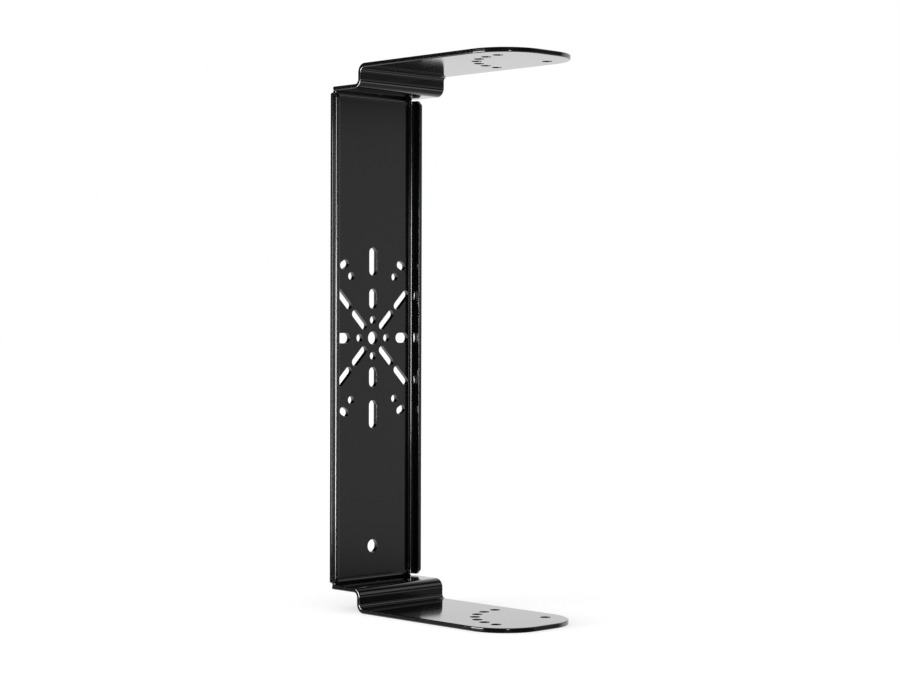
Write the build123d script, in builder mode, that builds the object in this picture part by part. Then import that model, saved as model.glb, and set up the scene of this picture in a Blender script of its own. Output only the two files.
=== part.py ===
from build123d import *
import os

# Speaker wall bracket: one folded steel sheet that holds a cabinet between two arms. Sizes in millimetres.
# X runs across the bracket, +Y points into the wall and +Z is up. The origin is the middle of the hole star,
# on the face that lies against the wall, so the arms reach out towards -Y.

# Sheet and folds. Every fold has the same inside radius.
sheet = 3.2
fold_inner = 3.0
fold_outer = fold_inner + sheet

# Wall plate, measured over its side lips, and the clear height between its two ledges.
plate_width = 80.0
ledge_clear = 336.0
lip_depth = 10.5
lip_corner = 3.0
lip_gap = 1.0

# Ledges, risers and arms are one strip that is a little narrower than the plate.
# Reliefs are cut in from its sides at the four corners of the plate, and end this far out from the wall.
strip_width = 78.0
strip_start = 4.8
relief_depth = 4.4
riser_reach = 33.5
riser_rise = 13.5
arm_reach = 169.0
tip_radius = 30.0

# Holes of the arms: a pivot near one corner of the tip and a quarter ring of holes around it,
# from straight behind the pivot to straight beside it.
arm_hole_diameter = 6.5
pivot_from_tip = 24.0
pivot_from_side = 15.0
swing_radius = 46.0
swing_count = 7
swing_start_angle = 90.0
swing_sweep_angle = 90.0

# One small hole in the middle of each ledge.
ledge_hole_diameter = 4.0
ledge_hole_reach = 11.0

# Hole star of the plate: a bolt hole in the middle and one low down, small round holes, and slots that are
# upright, level, diagonal (pointing at the middle) and at the corners (across the line to the middle).
bolt_hole_diameter = 9.0
low_hole_rise = 23.5
small_hole_diameter = 5.5
ring_radius = 12.5
slot_width = 7.0
near_reach = 27.2
level_slot_length = 11.6
upright_slot_length = 14.0
far_reach = 53.0
far_slot_length = 19.5
diagonal_slot_length = 17.0
diagonal_near_reach = 17.7
diagonal_far_reach = 37.5
outer_grid_width = 40.4
outer_grid_height = 85.2
corner_slot_length = 8.2
corner_reach = 57.1
corner_angle = 62.4
diagonal_angle = 45.0
quarter_angle = 90.0
ring_count = 4
pair_count = 2

# Places that follow from the sizes above.
ledge_z = ledge_clear / 2
arm_z = ledge_z + riser_rise
riser_back = riser_reach - sheet
lip_x = plate_width / 2
lip_root = lip_x - fold_outer
lip_end = ledge_z - lip_gap
relief_root = lip_x - relief_depth
pivot_x = strip_width / 2 - pivot_from_side
pivot_y = pivot_from_tip - arm_reach
low_hole_z = low_hole_rise - ledge_z

# The two lips along the plate's long edges: a quarter ring of sheet, then a short straight flange.
with BuildPart() as lips:
    with BuildSketch(Plane.XY) as lip_section:
        with BuildLine() as lip_outline:
            outer_fold = CenterArc((lip_root, -fold_outer), fold_outer, 0, quarter_angle)
            inner_fold = CenterArc((lip_root, -fold_outer), fold_inner, 0, quarter_angle)
            Polyline(inner_fold @ 0, (lip_x - sheet, -lip_depth), (lip_x, -lip_depth), outer_fold @ 0)
            Line(outer_fold @ 1, inner_fold @ 1)
        make_face()
        mirror(about=Plane.YZ)
    extrude(amount=lip_end, both=True)
    # The front corners at both ends of each lip are cut off at an angle.
    chamfer(lips.edges().filter_by(Axis.X).group_by(Axis.Y)[0], length=lip_corner)

with BuildPart() as bracket:
    # The strip seen from its side. The line is the sheet's wall face, from the tip of the upper arm down its
    # riser, ledge, plate, lower ledge and riser to the tip of the lower arm. The sheet lies inside that line.
    with BuildSketch(Plane.YZ) as side_view:
        with BuildLine() as strip_outline:
            FilletPolyline(
                (-arm_reach, arm_z + sheet),
                (-riser_back, arm_z + sheet),
                (-riser_back, ledge_z + sheet),
                (0, ledge_z + sheet),
                (0, -ledge_z - sheet),
                (-riser_back, -ledge_z - sheet),
                (-riser_back, -arm_z - sheet),
                (-arm_reach, -arm_z - sheet),
                radius=(fold_outer, fold_inner, fold_outer, fold_outer, fold_inner, fold_outer),
            )
            offset(amount=sheet, side=Side.RIGHT)
        make_face()
    extrude(amount=strip_width / 2, both=True)

    # The corners of both arm tips are rounded.
    fillet(bracket.edges().filter_by(Axis.Z).group_by(Axis.Y)[0], radius=tip_radius)

    # Between the ends of the lips the strip is cut back to the roots of the lips. Beyond these ends the
    # reliefs are a little shallower.
    with BuildSketch(Plane.XZ) as reliefs:
        with Locations((lip_root, 0)):
            Rectangle(plate_width, 2 * lip_end, align=(Align.MIN, Align.CENTER))
        with Locations((relief_root, 0)):
            Rectangle(plate_width, ledge_clear + arm_z, align=(Align.MIN, Align.CENTER))
        mirror(about=Plane.YZ)
    extrude(amount=strip_start, mode=Mode.SUBTRACT)
    add(lips.part)

    # Hole star and low bolt hole, cut through the plate from its wall face.
    with BuildSketch(Plane.XZ) as star:
        with Locations((0, 0), (0, low_hole_z)):
            Circle(bolt_hole_diameter / 2)
        with PolarLocations(ring_radius, ring_count):
            Circle(small_hole_diameter / 2)
        with GridLocations(outer_grid_width, outer_grid_height, pair_count, pair_count):
            Circle(small_hole_diameter / 2)
        with Locations((near_reach, 0), (-near_reach, 0)):
            SlotOverall(level_slot_length, slot_width)
        with Locations((0, near_reach), (0, -near_reach)):
            SlotOverall(upright_slot_length, slot_width, rotation=quarter_angle)
        with Locations((0, far_reach), (0, -far_reach)):
            SlotOverall(far_slot_length, slot_width, rotation=quarter_angle)
        with PolarLocations(diagonal_near_reach, ring_count, start_angle=diagonal_angle):
            SlotOverall(diagonal_slot_length, small_hole_diameter)
        with PolarLocations(diagonal_far_reach, ring_count, start_angle=diagonal_angle):
            SlotOverall(diagonal_slot_length, small_hole_diameter)
        with PolarLocations(corner_reach, pair_count, start_angle=corner_angle):
            SlotOverall(corner_slot_length, small_hole_diameter, rotation=quarter_angle)
        with PolarLocations(corner_reach, pair_count, start_angle=-corner_angle):
            SlotOverall(corner_slot_length, small_hole_diameter, rotation=quarter_angle)
    extrude(amount=sheet, mode=Mode.SUBTRACT)

    # Upright holes: the pivot and its quarter ring in both arms, and the small hole in both ledges.
    with BuildSketch(Plane.XY) as upright_holes:
        with Locations((pivot_x, pivot_y)):
            Circle(arm_hole_diameter / 2)
            with PolarLocations(
                swing_radius,
                swing_count,
                start_angle=swing_start_angle,
                angular_range=swing_sweep_angle,
                endpoint=True,
            ):
                Circle(arm_hole_diameter / 2)
        with Locations((0, -ledge_hole_reach)):
            Circle(ledge_hole_diameter / 2)
    extrude(amount=arm_z + sheet, both=True, mode=Mode.SUBTRACT)

bracket.part.label = "bracket"
os.makedirs("parts", exist_ok=True)
export_step(bracket.part, "parts/bracket.step")
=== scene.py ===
# %% [markdown]
# # A speaker wall bracket, cut flat and then folded
#
# The real bracket is one steel sheet. A machine cuts its outline and all its holes while it is flat, a press
# folds it, and then it is coated black. This lesson makes it in the same order: a flat blank with eased
# edges, fold lines, folds, a coat, and a white studio to look at it in.

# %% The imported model
import math

import bmesh
import bpy
from mathutils import Matrix, Vector


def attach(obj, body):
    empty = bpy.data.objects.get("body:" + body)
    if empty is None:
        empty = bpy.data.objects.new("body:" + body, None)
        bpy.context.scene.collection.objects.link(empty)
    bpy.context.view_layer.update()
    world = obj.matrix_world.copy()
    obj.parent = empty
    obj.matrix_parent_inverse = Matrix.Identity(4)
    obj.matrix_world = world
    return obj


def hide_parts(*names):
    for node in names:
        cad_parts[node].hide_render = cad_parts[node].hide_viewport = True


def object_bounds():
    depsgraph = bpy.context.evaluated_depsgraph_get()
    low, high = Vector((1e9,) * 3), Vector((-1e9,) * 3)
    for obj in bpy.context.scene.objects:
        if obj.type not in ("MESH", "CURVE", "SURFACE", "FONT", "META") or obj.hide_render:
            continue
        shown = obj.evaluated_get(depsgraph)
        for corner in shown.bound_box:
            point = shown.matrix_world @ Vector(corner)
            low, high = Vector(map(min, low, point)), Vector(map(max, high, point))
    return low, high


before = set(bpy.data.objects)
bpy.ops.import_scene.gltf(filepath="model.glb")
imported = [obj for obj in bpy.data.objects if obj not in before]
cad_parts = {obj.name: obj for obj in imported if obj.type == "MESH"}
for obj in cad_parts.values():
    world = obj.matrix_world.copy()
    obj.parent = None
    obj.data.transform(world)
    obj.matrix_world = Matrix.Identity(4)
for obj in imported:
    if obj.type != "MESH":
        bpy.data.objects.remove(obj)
cad_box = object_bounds()
print("CAD nodes:", sorted(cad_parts), "box:", [[round(c, 4) for c in corner] for corner in cad_box])

# %% [markdown]
# ## The sizes of the sheet
#
# The sizes are in millimetres, as on a workshop drawing, and `MM` turns them into Blender's metres at the
# very end. They are the sizes of the CAD solid, so the finished piece lies exactly where the solid does.
# A press folds a sheet about its middle: there the length stays the same, while the inside of the fold is
# squeezed and the outside is stretched. So all lengths of the flat blank are measured along the middle.

# %% Sizes
MM = 0.001
QUARTER_TURN = math.pi / 2
SHEET = 3.2
FOLD_INNER = 3.0
FOLD_MIDDLE = FOLD_INNER + SHEET / 2
FOLD_OUTER = FOLD_INNER + SHEET
FOLD_LENGTH = FOLD_MIDDLE * QUARTER_TURN

PLATE_WIDTH = 80.0
LEDGE_CLEAR = 336.0
LIP_DEPTH = 10.5
LIP_CORNER = 3.0
LIP_GAP = 1.0
STRIP_WIDTH = 78.0
STRIP_START = 4.8
RELIEF_DEPTH = 4.4
RISER_REACH = 33.5
RISER_RISE = 13.5
ARM_REACH = 169.0
TIP_RADIUS = 30.0

# The straight runs between the folds, from the middle of the plate to the tip of an arm.
plate_run = LEDGE_CLEAR / 2 - FOLD_INNER
ledge_run = RISER_REACH - FOLD_OUTER - FOLD_OUTER
riser_run = RISER_RISE - FOLD_OUTER - FOLD_INNER
arm_run = ARM_REACH - RISER_REACH - FOLD_INNER
print(f"straight runs of plate and ledge: {plate_run:.1f} and {ledge_run:.1f} mm")
print(f"straight runs of riser and arm: {riser_run:.1f} and {arm_run:.1f} mm")

# %% [markdown]
# ## Outlines with normals
#
# An outline is a list of points, and each point carries the direction that looks out of the sheet there.
# With these directions an edge can be rounded by hand: a ring of points a little further in, and a little
# lower, for each step of the rounding. A bevel modifier would work on the triangles of the flat face
# instead, and long thin triangles next to a hole make it tear.

# %% Outline helpers
ARC_STEP = math.radians(7.5)


def arc(centre, radius, start, turn, facing=1):
    """Points on an arc from the angle start through turn. Normals look away from the centre, or to it."""
    steps = max(2, math.ceil(abs(turn) / ARC_STEP))
    points = []
    for i in range(steps + 1):
        angle = start + turn * i / steps
        ray = Vector((math.cos(angle), math.sin(angle)))
        points.append((Vector(centre) + radius * ray, facing * ray))
    return points


def round_corners(corners):
    """A closed outline, anticlockwise, from (across, along, radius) corners."""
    points = []
    for i, (x, y, radius) in enumerate(corners):
        here = Vector((x, y))
        before = (Vector(corners[i - 1][:2]) - here).normalized()
        after = (Vector(corners[(i + 1) % len(corners)][:2]) - here).normalized()
        half = before.angle(after) / 2
        centre = here + (before + after).normalized() * (radius / math.sin(half))
        outward = before.cross(after) < 0
        first = here + before * (radius / math.tan(half)) - centre
        turn = (math.pi - 2 * half) * (1 if outward else -1)
        points += arc(centre, radius, math.atan2(first.y, first.x), turn, 1 if outward else -1)
    return points


def slot_hole(centre, length, width, direction=0.0):
    """A slot with round ends, or a round hole if length equals width. Its normals look into the hole."""
    radius = width / 2
    along = Vector((math.cos(direction), math.sin(direction))) * (length / 2 - radius)
    middle = Vector(centre)
    if length == width:
        return arc(middle, radius, 0, 2 * math.pi, -1)[:-1]
    return arc(middle + along, radius, direction - QUARTER_TURN, math.pi, -1) + arc(
        middle - along, radius, direction + QUARTER_TURN, math.pi, -1
    )


print("points of a round hole:", len(slot_hole((0, 0), 1, 1)))

# %% [markdown]
# ## The blank
#
# The blank is a long strip with a lip on each side of its middle part. A notch at each end of a lip lets the
# press fold the lip and the ledge without tearing the corner. The outline is written for one quarter and
# turned over twice, because the sheet is the same on both sides and at both ends.

# %% The outline of the blank
# An outer corner is a little rounder than the eased edge, so that the rings of the edge don't cross there.
CORNER, RELIEF_CORNER = 0.85, 0.4

lip_root = PLATE_WIDTH / 2 - FOLD_OUTER
lip_edge = lip_root + FOLD_LENGTH + LIP_DEPTH - FOLD_OUTER
lip_end = LEDGE_CLEAR / 2 - LIP_GAP
relief_root = PLATE_WIDTH / 2 - RELIEF_DEPTH
shoulder_turn = math.acos(1 - (STRIP_START - SHEET / 2) / FOLD_MIDDLE)
shoulder = plate_run + FOLD_MIDDLE * shoulder_turn
arm_start = plate_run + ledge_run + riser_run + 3 * FOLD_LENGTH
tip = arm_start + arm_run

quarter = [
    (lip_edge, lip_end - LIP_CORNER, CORNER),
    (lip_edge - LIP_CORNER, lip_end, CORNER),
    (relief_root, lip_end, RELIEF_CORNER),
    (relief_root, shoulder, RELIEF_CORNER),
    (STRIP_WIDTH / 2, shoulder, CORNER),
    (STRIP_WIDTH / 2, tip, TIP_RADIUS),
]
upper = quarter + [(-x, y, r) for x, y, r in reversed(quarter)]
blank_outline = round_corners(upper + [(-x, -y, r) for x, y, r in upper])
print(f"blank: {2 * lip_edge:.1f} mm wide and {2 * tip:.1f} mm long, {len(blank_outline)} outline points")

# %% [markdown]
# ## The holes
#
# The plate carries a star of holes, so that it fits many wall arms: round holes, and slots that are upright,
# level, diagonal or set across the corners. Each arm has a pivot hole and a quarter ring of holes around it.
# The cabinet hangs on the pivot, and a second screw in the ring sets how far it is turned. A boolean could
# cut the holes afterwards, but as outlines of the blank they keep clean rims that can be eased like its edge.

# %% The holes of the plate
BOLT_HOLE = 9.0
SMALL_HOLE = 5.5
SLOT_WIDTH = 7.0
LOW_HOLE_RISE = 23.5
RING, RING_HOLES = 12.5, 4
NEAR, LEVEL_SLOT, UPRIGHT_SLOT = 27.2, 11.6, 14.0
FAR, FAR_SLOT = 53.0, 19.5
DIAGONAL_NEAR, DIAGONAL_FAR, DIAGONAL_SLOT = 17.7, 37.5, 17.0
GRID_WIDTH, GRID_HEIGHT = 40.4, 85.2
CORNER_REACH, CORNER_ANGLE, CORNER_SLOT = 57.1, math.radians(62.4), 8.2


def polar(radius, angle):
    """The point at a distance and an angle from the middle."""
    return Vector((radius * math.cos(angle), radius * math.sin(angle)))


plate_holes = [slot_hole((0, z), BOLT_HOLE, BOLT_HOLE) for z in (0, LOW_HOLE_RISE - LEDGE_CLEAR / 2)]
plate_holes += [slot_hole(polar(RING, k * QUARTER_TURN), SMALL_HOLE, SMALL_HOLE) for k in range(RING_HOLES)]
corner = polar(CORNER_REACH, CORNER_ANGLE)
for side in (1, -1):
    plate_holes.append(slot_hole((side * NEAR, 0), LEVEL_SLOT, SLOT_WIDTH))
    plate_holes.append(slot_hole((0, side * NEAR), UPRIGHT_SLOT, SLOT_WIDTH, QUARTER_TURN))
    plate_holes.append(slot_hole((0, side * FAR), FAR_SLOT, SLOT_WIDTH, QUARTER_TURN))
    for end in (1, -1):
        plate_holes.append(slot_hole((side * GRID_WIDTH / 2, end * GRID_HEIGHT / 2), SMALL_HOLE, SMALL_HOLE))
        diagonal = math.atan2(end, side)
        for reach in (DIAGONAL_NEAR, DIAGONAL_FAR):
            plate_holes.append(slot_hole(polar(reach, diagonal), DIAGONAL_SLOT, SMALL_HOLE, diagonal))
        across = math.atan2(end * corner.y, side * corner.x) + QUARTER_TURN
        plate_holes.append(slot_hole((side * corner.x, end * corner.y), CORNER_SLOT, SMALL_HOLE, across))
print("holes in the plate:", len(plate_holes))

# %% The holes of the ledges and arms
ARM_HOLE = 6.5
PIVOT_FROM_TIP, PIVOT_FROM_SIDE = 24.0, 15.0
SWING_RADIUS, SWING_HOLES = 46.0, 7
LEDGE_HOLE, LEDGE_HOLE_REACH = 4.0, 11.0

pivot = Vector((STRIP_WIDTH / 2 - PIVOT_FROM_SIDE, tip - PIVOT_FROM_TIP))
arm_places = [pivot]
for k in range(SWING_HOLES):
    arm_places.append(pivot - polar(SWING_RADIUS, QUARTER_TURN * k / (SWING_HOLES - 1)))
ledge_place = plate_run + FOLD_LENGTH + LEDGE_HOLE_REACH - FOLD_OUTER
strip_holes = []
for end in (1, -1):
    strip_holes += [slot_hole((place.x, end * place.y), ARM_HOLE, ARM_HOLE) for place in arm_places]
    strip_holes.append(slot_hole((0, end * ledge_place), LEDGE_HOLE, LEDGE_HOLE))
print("holes in the ledges and arms:", len(strip_holes))

# %% [markdown]
# ## A solid blank with eased edges
#
# A cut steel edge is never razor sharp, and the coat rounds it further. That rounding is what catches the
# light along the rim of the real bracket, so it is modelled, not faked with a shader. The outline is the
# roundest, the holes of the arms and ledges are eased less, and the punched holes of the plate hardly at all.
# Every outline becomes a stack of rings from the front face, round the edge, to the wall face. The two flat
# faces are then filled between the first rings and between the last rings. A layer on the vertices keeps the
# exact normal.

# %% The profile of an edge
OUTLINE_EDGE, STRIP_HOLE_EDGE, PLATE_HOLE_EDGE = 0.8, 0.5, 0.15
EDGE_STEPS = 4


def edge_profile(radius):
    """The rings of an edge, front face first: inset, height in the sheet and lean of the normal."""
    rings = []
    for face in (1, -1):
        for step in range(EDGE_STEPS + 1):
            lean = QUARTER_TURN * (EDGE_STEPS - step if face == 1 else -step) / EDGE_STEPS
            height = face * (SHEET / 2 - radius) + radius * math.sin(lean)
            rings.append((radius * (1 - math.cos(lean)), height, lean))
    return rings


cut_edges = [(blank_outline, OUTLINE_EDGE)]
cut_edges += [(hole, PLATE_HOLE_EDGE) for hole in plate_holes]
cut_edges += [(hole, STRIP_HOLE_EDGE) for hole in strip_holes]
print("cut edges:", len(cut_edges), "with", len(edge_profile(OUTLINE_EDGE)), "rings each")

# %% Edge rings and flat faces
bm = bmesh.new()
flat_normal = bm.verts.layers.float_vector.new("flat_normal")
rims = {0: [], -1: []}
for outline, radius in cut_edges:
    rings = []
    for inset, height, lean in edge_profile(radius):
        ring = []
        for point, outward in outline:
            place = point - outward * inset
            vert = bm.verts.new((place.x, place.y, height))
            side = outward * math.cos(lean)
            vert[flat_normal] = (side.x, side.y, math.sin(lean))
            ring.append(vert)
        rings.append(ring)
    count = len(outline)
    for high, low in zip(rings, rings[1:]):
        for i in range(count):
            bm.faces.new((high[i], low[i], low[(i + 1) % count], high[(i + 1) % count]))
    for level in rims:
        rims[level] += [bm.edges.get((rings[level][i], rings[level][(i + 1) % count])) for i in range(count)]
for edges in rims.values():
    bmesh.ops.triangle_fill(bm, edges=edges, use_beauty=True, normal=(0, 0, 1))
open_edges = sum(not edge.is_manifold for edge in bm.edges)
print("flat blank:", len(bm.verts), "vertices,", len(bm.faces), "faces,", open_edges, "open edges")

# %% [markdown]
# ## Fold lines
#
# A mesh can only bend where it has vertices. So each place that will be folded is first cut into narrow
# bands with straight cuts across the blank. A fine grid all over would bend too, but it would spend most of
# its vertices on flat faces. The lips get their own cuts, which stop at the notches.

# %% Cut the bands for the folds
BANDS = 12
# How near, in millimetres, a vertex counts as lying on a cut, and on the line round a lip.
ON_CUT, ON_LINE = 1e-6, 1e-3


def cut(across, position, faces=None):
    """Cuts the blank along a straight line: along the strip if across is 0, across the strip if it is 1."""
    axis = Vector((0, 0, 0))
    axis[across] = 1
    faces = list(bm.faces) if faces is None else faces
    parts = {v for f in faces for v in f.verts} | {e for f in faces for e in f.edges} | set(faces)
    bmesh.ops.bisect_plane(bm, geom=list(parts), dist=ON_CUT, plane_co=axis * position, plane_no=axis)


fold_starts = [plate_run, plate_run + FOLD_LENGTH + ledge_run, arm_start - FOLD_LENGTH]
for end in (1, -1):
    cut(1, end * lip_end)
    cut(0, end * lip_root)
    for start in fold_starts:
        for k in range(BANDS + 1):
            cut(1, end * (start + FOLD_LENGTH * k / BANDS))
for side in (1, -1):
    for k in range(1, BANDS + 1):
        lip = [
            f for f in bm.faces
            if all(side * v.co.x > lip_root - ON_LINE and abs(v.co.y) < lip_end + ON_LINE for v in f.verts)
        ]
        cut(0, side * (lip_root + FOLD_LENGTH * k / BANDS), lip)
print("cut blank:", len(bm.verts), "vertices,", len(bm.faces), "faces")

# %% [markdown]
# ## Folding
#
# The press makes eight folds: three at each end of the strip, and one for each lip. A bend modifier for each
# of them would be hard to place exactly, so the folds are worked out. `walk` follows the middle of the sheet
# and returns where a length along the blank ends up, and how the sheet stands there. A fold turns the walking
# direction through a quarter circle, towards the front of the sheet or away from it. The same walk folds the
# strip, up and down, and the lips, to the left and the right. The kept normals turn with the sheet, so a fold
# reflects as one smooth curve and a flat face stays flat.

# %% A walk along the sheet
def walk(length, runs):
    """Position and direction after a length along runs of (straight length, turn of the fold behind it)."""
    place, heading = Vector((0, 0)), 0.0
    for run, turn in runs:
        step = min(length, run)
        place += polar(step, heading)
        length -= step
        if length <= 0 or turn == 0:
            break
        bend = min(length / FOLD_LENGTH, 1) * QUARTER_TURN
        turned = heading + turn * bend
        place += turn * FOLD_MIDDLE * Vector(
            (math.sin(turned) - math.sin(heading), math.cos(heading) - math.cos(turned))
        )
        heading = turned
        length -= FOLD_LENGTH
        if length <= 0:
            break
    return place, heading


STRIP_RUNS = [(plate_run, 1), (ledge_run, -1), (riser_run, 1), (arm_run, 0)]
LIP_RUNS = [(lip_root, 1), (LIP_DEPTH, 0)]
arm_tip = walk(tip, STRIP_RUNS)[0]
print(f"middle of the arm's tip: {arm_tip.y:.1f} mm in front of the plate's middle, {arm_tip.x:.1f} mm up")

# %% Fold the blank
# How far, in millimetres, a vertex has to lie past the root of a lip to fold with the lip.
PAST_ROOT = 1e-4

normals = []
for vert in bm.verts:
    across, along, height = vert.co
    normal = vert[flat_normal].normalized()
    is_lip = abs(across) > lip_root + PAST_ROOT and abs(along) < lip_end + ON_LINE
    sign = math.copysign(1, across if is_lip else along)
    place, heading = walk(abs(across if is_lip else along), LIP_RUNS if is_lip else STRIP_RUNS)
    forward = Vector((math.cos(heading), math.sin(heading)))
    depth = Vector((-math.sin(heading), math.cos(heading)))
    spot = place + depth * height
    lean = forward * (normal.x if is_lip else normal.y) * sign + depth * normal.z
    front = -SHEET / 2 - spot.y
    if is_lip:
        vert.co = Vector((sign * spot.x, front, along)) * MM
        normals.append(Vector((sign * lean.x, -lean.y, normal.y)))
    else:
        vert.co = Vector((across, front, sign * spot.x)) * MM
        normals.append(Vector((normal.x, -lean.y, sign * lean.x)))
bmesh.ops.recalc_face_normals(bm, faces=bm.faces)
print("vertices folded:", len(normals))

# %% The folded sheet as a piece
bracket_mesh = bpy.data.meshes.new("folded_sheet")
bm.verts.layers.float_vector.remove(flat_normal)
bm.to_mesh(bracket_mesh)
bm.free()
bracket_mesh.polygons.foreach_set("use_smooth", [True] * len(bracket_mesh.polygons))
bracket_mesh.normals_split_custom_set_from_vertices(normals)
bracket = bpy.data.objects.new("folded_sheet", bracket_mesh)
bpy.context.scene.collection.objects.link(bracket)
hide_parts("bracket")
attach(bracket, "root")
print("folded sheet:", len(bracket_mesh.vertices), "vertices,", len(bracket_mesh.polygons), "faces")

# %% [markdown]
# ## The coat
#
# The finish is a stoved black powder coat: polyester powder that is baked until it flows into a smooth,
# glossy skin. It mirrors the room, strongest where one looks along the surface. Up close it has a faint
# orange peel, because the powder never flows quite flat, and it is a touch duller in places. A flat black
# would lose both, so slow noise varies the shade and the gloss, and fine noise drives a very low bump.

# %% Node helper and colours
def linear(hex_colour):
    """Linear RGBA from an sRGB hex colour."""
    channels = [int(hex_colour[i:i + 2], 16) / 255 for i in (1, 3, 5)]
    return [c / 12.92 if c <= 0.04045 else ((c + 0.055) / 1.055) ** 2.4 for c in channels] + [1.0]


def add(tree, kind, inputs=None, **settings):
    """Adds a node, sets its properties, and sets or links each input by name or number."""
    node = tree.nodes.new(kind)
    for name, value in settings.items():
        setattr(node, name, value)
    for name, value in (inputs or {}).items():
        if isinstance(value, bpy.types.NodeSocket):
            tree.links.new(value, node.inputs[name])
        else:
            node.inputs[name].default_value = value
    return node


def per_metre(size_mm):
    """The noise scale that gives features of a real size."""
    return 1 / (size_mm * MM)


print("sRGB #808080 is", round(linear("#808080")[0], 3), "in linear light")

# %% Stoved black powder coat
# Baked polyester has an IOR of about 1.5, and gloss powder a roughness of 0.1 to 0.2. The coat of this
# bracket mirrors the room more strongly, and crisply, so both are matched to its light lines and grey plate.
# The mix node has its factor at input 0, its numbers at 2 and 3 and its colours at 6 and 7. It gives a number
# at output 0 and a colour at output 2.
COAT_DARK, COAT_LIGHT = linear("#030304"), linear("#060607")
COAT_IOR = 1.9
GLOSSY, DULLER = 0.09, 0.12
FLOW_MM, FLOW_DETAIL = 28.0, 3.0
ORANGE_PEEL_MM, PEEL_DETAIL = 1.6, 1.0
PEEL_STRENGTH, PEEL_DEPTH_MM = 0.02, 0.2

coat = bpy.data.materials.new("stoved_black_powder_coat")
coat.use_nodes = True
tree = coat.node_tree
tree.nodes.clear()
space = add(tree, "ShaderNodeTexCoord").outputs["Object"]
flow = add(tree, "ShaderNodeTexNoise", {"Vector": space, "Scale": per_metre(FLOW_MM), "Detail": FLOW_DETAIL})
peel = add(
    tree, "ShaderNodeTexNoise", {"Vector": space, "Scale": per_metre(ORANGE_PEEL_MM), "Detail": PEEL_DETAIL}
)
shade = add(tree, "ShaderNodeMix", {0: flow.outputs["Fac"], 6: COAT_DARK, 7: COAT_LIGHT}, data_type="RGBA")
gloss = add(tree, "ShaderNodeMapRange", {"Value": flow.outputs["Fac"], "To Min": GLOSSY, "To Max": DULLER})
bump = add(
    tree, "ShaderNodeBump",
    {"Height": peel.outputs["Fac"], "Strength": PEEL_STRENGTH, "Distance": PEEL_DEPTH_MM * MM},
)
skin = add(
    tree, "ShaderNodeBsdfPrincipled",
    {
        "Base Color": shade.outputs[2], "Roughness": gloss.outputs["Result"],
        "IOR": COAT_IOR, "Normal": bump.outputs["Normal"],
    },
)
add(tree, "ShaderNodeOutputMaterial", {"Surface": skin.outputs["BSDF"]})
bracket_mesh.materials.append(coat)
print("material:", coat.name, "with", len(tree.nodes), "nodes")

# %% [markdown]
# ## The studio
#
# A black glossy thing shows little but the room around it, so the room is what gives this bracket its look.
# Behind it, as the camera stands, are a white wall and a white floor, which the arms mirror. In front, on the
# right, stands a grey screen, just tall enough to fill the mirror of the plate. The rest of the room is dark,
# under a dim ceiling. One could build all of this as walls, but the world can carry it: it is painted by
# direction, and only mirrored rays see it. The camera sees plain white, and matt surfaces get an even fill.

# %% The room that the coat mirrors
WHITE_WALL, WHITE_FLOOR, GREY_FLOOR, GREY_SCREEN = 1.0, 0.9, 0.18, 0.26
CEILING, DARK_ROOM = 0.3, 0.03
# The way to the wall and to the screen, and the cosines of the angles from it at which each begins to show
# and is full.
WALL_WAY, WALL_FADE = (0.940, 0.342, 0.0), (0.56, 0.83)
SCREEN_WAY, SCREEN_FADE = (0.68, -0.73, 0.0), (0.85, 0.95)
# The rest goes by how far a ray points up, or back: the middle and half the height of the screen, and where
# each part of the room begins to show and is full.
SCREEN_MIDDLE, SCREEN_HALF = -0.0095, 0.114
GREY_FLOOR_FADE, WHITE_FLOOR_FADE, CEILING_FADE = (-0.2, -0.55), (-0.12, -0.3), (0.74, 0.9)
BACK_FADE = (0.5, 0.7)

world = bpy.data.worlds.new("white_studio")
bpy.context.scene.world = world
world.use_nodes = True
tree = world.node_tree
tree.nodes.clear()
ray_way = add(tree, "ShaderNodeTexCoord").outputs["Generated"]
ray_parts = add(tree, "ShaderNodeSeparateXYZ", {0: ray_way}).outputs
wall = add(tree, "ShaderNodeVectorMath", {0: ray_way, 1: WALL_WAY}, operation="DOT_PRODUCT")
screen = add(tree, "ShaderNodeVectorMath", {0: ray_way, 1: SCREEN_WAY}, operation="DOT_PRODUCT")
band = add(tree, "ShaderNodeMath", {0: ray_parts["Z"], 1: SCREEN_MIDDLE, 2: SCREEN_HALF}, operation="COMPARE")
grey = add(
    tree, "ShaderNodeMapRange",
    {
        "Value": screen.outputs["Value"], "From Min": SCREEN_FADE[0], "From Max": SCREEN_FADE[1],
        "To Min": 0.0, "To Max": GREY_SCREEN,
    },
)
grey_floor = add(
    tree, "ShaderNodeMapRange",
    {
        "Value": ray_parts["Z"], "From Min": GREY_FLOOR_FADE[0], "From Max": GREY_FLOOR_FADE[1],
        "To Min": DARK_ROOM, "To Max": GREY_FLOOR,
    },
)
ceiling = add(
    tree, "ShaderNodeMapRange",
    {
        "Value": ray_parts["Z"], "From Min": CEILING_FADE[0], "From Max": CEILING_FADE[1],
        "To Min": grey_floor.outputs[0], "To Max": CEILING,
    },
)
front_room = add(
    tree, "ShaderNodeMath",
    {0: grey.outputs[0], 1: band.outputs[0], 2: ceiling.outputs[0]}, operation="MULTIPLY_ADD",
)
white_floor = add(
    tree, "ShaderNodeMapRange",
    {
        "Value": ray_parts["Z"], "From Min": WHITE_FLOOR_FADE[0], "From Max": WHITE_FLOOR_FADE[1],
        "To Min": 0.0, "To Max": WHITE_FLOOR,
    },
)
without_wall = add(
    tree, "ShaderNodeMapRange",
    {
        "Value": ray_parts["Y"], "From Min": BACK_FADE[0], "From Max": BACK_FADE[1],
        "To Min": front_room.outputs[0], "To Max": white_floor.outputs[0],
    },
)
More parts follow.
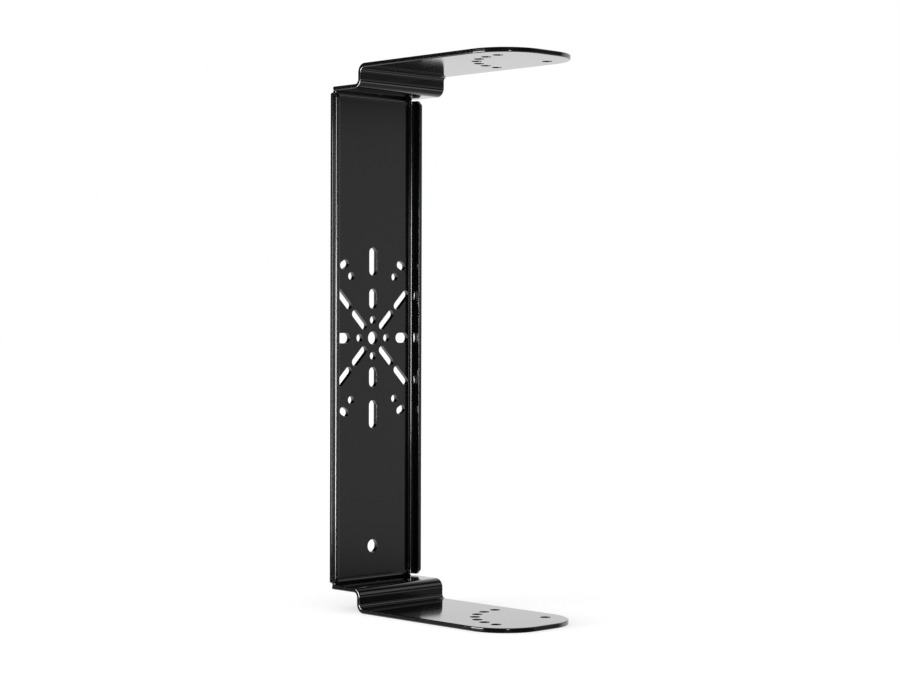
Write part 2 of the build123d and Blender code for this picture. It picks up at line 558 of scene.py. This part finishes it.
room = add(
    tree, "ShaderNodeMapRange",
    {
        "Value": wall.outputs["Value"], "From Min": WALL_FADE[0], "From Max": WALL_FADE[1],
        "To Min": without_wall.outputs[0], "To Max": WHITE_WALL,
    },
    interpolation_type="SMOOTHSTEP",
)
print("room of", len(tree.nodes), "nodes")

# %% Who sees the room
FILL = 0.5
CAMERA_WHITE = 1.0

rays = add(tree, "ShaderNodeLightPath").outputs
mirrored = add(
    tree, "ShaderNodeMath", {0: rays["Is Glossy Ray"], 1: rays["Is Transmission Ray"]}, operation="MAXIMUM"
)
seen = add(tree, "ShaderNodeMix", {0: mirrored.outputs[0], 2: FILL, 3: room.outputs["Result"]})
strength = add(tree, "ShaderNodeMix", {0: rays["Is Camera Ray"], 2: seen.outputs[0], 3: CAMERA_WHITE})
sky = add(tree, "ShaderNodeBackground", {"Color": linear("#FFFFFF"), "Strength": strength.outputs[0]})
add(tree, "ShaderNodeOutputWorld", {"Surface": sky.outputs["Background"]})
print("world:", world.name, "with", len(tree.nodes), "nodes")

# %% [markdown]
# ## Softboxes and cards
#
# On a black coat a lamp is seen as its own mirror image, so each one has a surface to draw. A point lamp
# would draw only dots, so all of them are area lamps, sized for what they draw. A softbox beside the camera
# draws the light line along the right lip. A softbox on the left, with a brighter core, draws the line along
# the front edge of the left lip, and a narrow strip draws the line along its fold. The cards are dim: they
# only lift the risers, the folds and the arms a little out of the black.

# %% Softboxes
# Each one: name, azimuth in degrees from +X, height of its middle, width and height in metres, radiance.
# The watts of an area lamp are its radiance times pi times its area.
SOFTBOX_REACH = 2.0
SOFTBOXES = (
    ("camera_softbox", -122.5, 0.015, 0.20, 0.39, 19.0),
    ("camera_card", -122.5, -0.04, 0.26, 0.68, 1.1),
    ("left_softbox", 159.0, -0.02, 1.30, 0.80, 9.0),
    ("left_core", 159.0, -0.10, 1.30, 0.46, 15.0),
    ("left_card", 133.0, -0.015, 0.50, 0.69, 0.22),
    ("left_strip", 125.5, -0.015, 0.21, 0.69, 4.5),
    ("right_high_card", -43.0, 0.875, 1.0, 0.75, 0.50),
    ("right_low_card", -43.0, -0.675, 1.0, 0.35, 0.72),
    ("back_card", 46.0, -0.22, 2.4, 0.9, 0.20),
)
for name, azimuth, rise, wide, tall, radiance in SOFTBOXES:
    lamp = bpy.data.lights.new(name, "AREA")
    lamp.shape = "RECTANGLE"
    lamp.size, lamp.size_y = wide, tall
    lamp.energy = radiance * math.pi * wide * tall
    box = bpy.data.objects.new(name, lamp)
    bpy.context.scene.collection.objects.link(box)
    stand = polar(SOFTBOX_REACH, math.radians(azimuth)).to_3d() + Vector((0, 0, rise))
    box.matrix_world = Matrix.Translation(stand) @ stand.to_track_quat("Z", "Y").to_matrix().to_4x4()
print("softboxes and cards:", len(SOFTBOXES))

# %% [markdown]
# ## The floor
#
# The floor is a plain pale sheet of paper. It has a little light of its own, so that it stays white as far as
# the camera sees it. Near the bracket that light is a little weaker, so the soft shadow still shows. The coat
# doesn't mirror the paper, because the world already carries a floor for it.

# %% Floor
FLOOR_HALF = 12.0
FLOOR_CORNERS = ((-1, -1), (1, -1), (1, 1), (-1, 1))

floor_z = cad_box[0][2]
floor_mesh = bpy.data.meshes.new("studio_floor")
floor_mesh.from_pydata(
    [(x * FLOOR_HALF, y * FLOOR_HALF, floor_z) for x, y in FLOOR_CORNERS], [], [(0, 1, 2, 3)]
)
floor = bpy.data.objects.new("studio_floor", floor_mesh)
bpy.context.scene.collection.objects.link(floor)
floor.visible_glossy = False
print(f"floor at {floor_z:.4f} m")

# %% Matt white paper
# Uncoated paper scatters about four fifths of the light, and evenly, so it is a plain diffuse surface without
# gloss. Its own light grows between two distances from the middle of the plate, in metres.
GLOW_FROM, GLOW_TO = 0.3, 1.2
GLOW_NEAR, GLOW_FAR = 0.56, 0.68

paper = bpy.data.materials.new("matt_white_paper")
paper.use_nodes = True
tree = paper.node_tree
tree.nodes.clear()
matt = add(tree, "ShaderNodeBsdfDiffuse", {"Color": linear("#E6E6E6")})
ground = add(tree, "ShaderNodeTexCoord").outputs["Object"]
away = add(tree, "ShaderNodeVectorMath", {0: ground}, operation="LENGTH")
own_light = add(
    tree, "ShaderNodeMapRange",
    {
        "Value": away.outputs["Value"], "From Min": GLOW_FROM, "From Max": GLOW_TO,
        "To Min": GLOW_NEAR, "To Max": GLOW_FAR,
    },
)
glow = add(tree, "ShaderNodeEmission", {"Color": linear("#FFFFFF"), "Strength": own_light.outputs[0]})
both = add(tree, "ShaderNodeAddShader", {0: matt.outputs[0], 1: glow.outputs[0]})
add(tree, "ShaderNodeOutputMaterial", {"Surface": both.outputs[0]})
floor_mesh.materials.append(paper)
print("material:", paper.name, "with", len(tree.nodes), "nodes")

# %% [markdown]
# ## The camera
#
# The camera stands about as far to the left as it stands in front, almost level with the middle of the
# bracket, and looks at it through a long lens. Set up by eye it would be some pixels off everywhere, so its
# place and lens were solved from the corners and holes in the photograph.

# %% Camera
IMAGE_WIDTH = 900
FOCAL_PIXELS = 2035.852
CAMERA_PLACE = Vector((-950.032, -1052.444, 14.490)) * MM
TURN, DROP, ROLL = (math.radians(a) for a in (-44.324, 0.639, 0.159))

look = Vector((-math.sin(TURN) * math.cos(DROP), math.cos(TURN) * math.cos(DROP), -math.sin(DROP)))
level_right = Vector((math.cos(TURN), math.sin(TURN), 0))
level_up = level_right.cross(look)
right = level_right * math.cos(ROLL) + level_up * math.sin(ROLL)
up = level_up * math.cos(ROLL) - level_right * math.sin(ROLL)
camera_data = bpy.data.cameras.new("camera")
camera_data.sensor_fit = "HORIZONTAL"
camera_data.lens = FOCAL_PIXELS * camera_data.sensor_width / IMAGE_WIDTH
camera = bpy.data.objects.new("camera", camera_data)
camera.matrix_world = Matrix((right, up, -look)).transposed().to_4x4()
camera.location = CAMERA_PLACE
bpy.context.scene.collection.objects.link(camera)
bpy.context.scene.camera = camera
bpy.context.scene.view_settings.view_transform = "Standard"
print(f"lens {camera_data.lens:.1f} mm")
